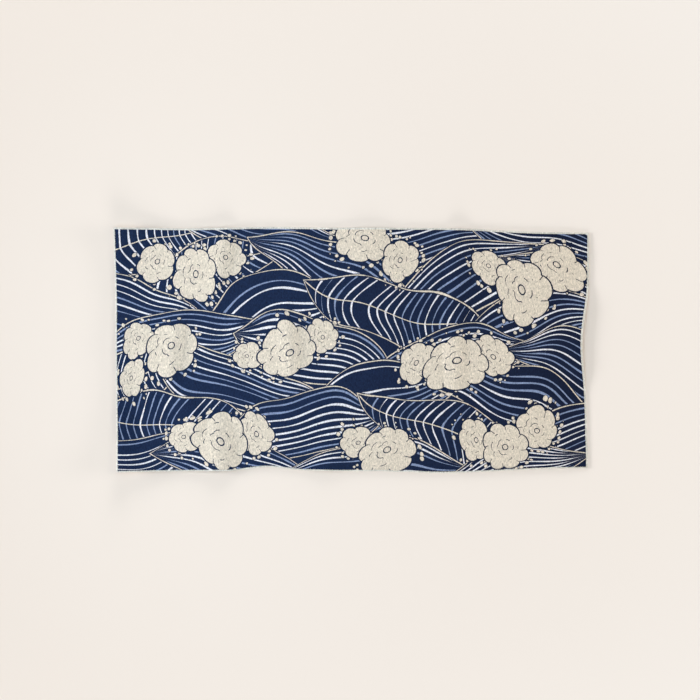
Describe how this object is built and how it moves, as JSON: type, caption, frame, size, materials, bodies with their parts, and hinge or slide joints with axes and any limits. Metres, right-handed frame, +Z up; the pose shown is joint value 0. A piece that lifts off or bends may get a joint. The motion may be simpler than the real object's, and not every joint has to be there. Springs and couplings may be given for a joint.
{
  "type": "bath towel",
  "caption": "Rectangular printed terry bath towel spread face up on a flat surface, with low soft folds across it and slightly lifted left corners.",
  "frame": {"origin": "middle of the towel's footprint, on the surface that it lies on", "axes": "+X along the long side, +Y along the short side, +Z up, out of the printed face"},
  "size_m": [1.478, 0.7656, 0.0252],
  "materials": {
    "printed_terry": "matt short loop pile, printed navy and cream"
  },
  "bodies": {
    "root": {"towel": "printed_terry"}
  },
  "joints": []
}
